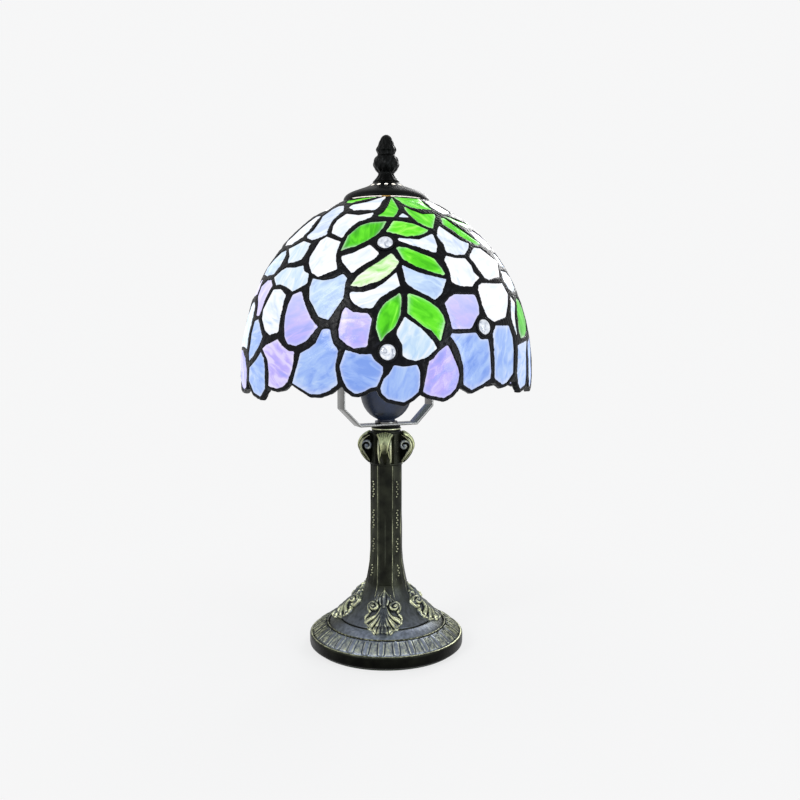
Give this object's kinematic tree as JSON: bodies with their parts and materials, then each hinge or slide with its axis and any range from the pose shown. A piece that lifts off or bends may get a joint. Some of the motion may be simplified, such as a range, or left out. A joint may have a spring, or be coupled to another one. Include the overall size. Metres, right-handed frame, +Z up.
{
  "type": "leaded glass table lamp",
  "caption": "Table lamp with a leaded glass dome on a harp, a cast column with scrolls, a round ornamented foot, a vase cap and a turned finial.",
  "frame": {"origin": "centre of the underside of the foot, on the table", "axes": "+Z up along the column, -Y towards the front of the lamp, +X to its right seen from the front"},
  "size_m": [0.2008, 0.202, 0.3566],
  "materials": {
    "felt": "matte",
    "iron": "rough",
    "bronze": "dark patina rubbed to gold on the high edges",
    "gold": "antique",
    "steel": "satin",
    "bakelite": "moulded, slightly worn",
    "porcelain": "glazed",
    "black_glass": "glassy",
    "bulb_white": "etched",
    "lead": "dark patinated solder",
    "green_glass": "streaky, lit from inside",
    "pale_green_glass": "streaky",
    "blue_glass": "streaky",
    "lavender_glass": "streaky",
    "sky_glass": "streaky",
    "white_glass": "streaky opal",
    "jewel_glass": "polished",
    "dark_metal": "near-black"
  },
  "bodies": {
    "stand": {"base_felt": "felt", "ballast_weight": "iron", "base_casting": "bronze", "cord_bushing": "black_glass", "base_washer": "steel", "base_nut": "steel", "tie_rod": "steel", "column_shaft": "bronze", "capital": "bronze", "capital_leaves": "gold", "top_collar": "bronze", "harp_strap": "steel", "harp_nut": "steel", "harp_stud": "gold", "stud_nut": "gold", "socket_cup": "bakelite", "socket_insert": "porcelain", "socket_shell": "bakelite", "screw_shell": "gold", "centre_contact": "gold", "terminal_screws": "gold"},
    "bulb": {"bulb_cap": "steel", "bulb_insulator": "black_glass", "bulb_contact": "steel", "bulb_glass": "bulb_white", "filament_mount": "porcelain"},
    "cap": {"vase_cap": "dark_metal"},
    "shade": {"crown_ring": "gold", "spider": "gold", "leading": "lead", "leaf_panes": "green_glass", "pale_leaf_pane": "pale_green_glass", "blue_panes": "blue_glass", "lavender_panes": "lavender_glass", "sky_panes": "sky_glass", "white_panes": "white_glass", "jewels": "jewel_glass"},
    "washer": {"finial_washer": "dark_metal"},
    "finial": {"finial": "dark_metal"}
  },
  "joints": [
    {"name": "shade_lift", "type": "slide", "parent": "stand", "child": "cap", "axis": [0, 0, 1], "range_m": [0, 0.17]},
    {"name": "shade_turn", "type": "hinge", "parent": "cap", "child": "shade", "pos_m": [0, 0, 0.3], "axis": [0, 0, 1], "continuous": true},
    {"name": "finial_lift", "type": "slide", "parent": "cap", "child": "washer", "axis": [0, 0, 1], "range_m": [0, 0.012]},
    {"name": "finial_turn", "type": "hinge", "parent": "washer", "child": "finial", "pos_m": [0, 0, 0.34], "axis": [0, 0, 1], "range_deg": [0, 4320]},
    {"name": "bulb_lift", "type": "slide", "parent": "stand", "child": "bulb", "axis": [0, 0, 1], "range_m": [0, 0.025]}
  ],
  "couplings": [
    {"joint": "finial_turn", "follows": "finial_lift", "rad_per_m": 6283.1}
  ]
}
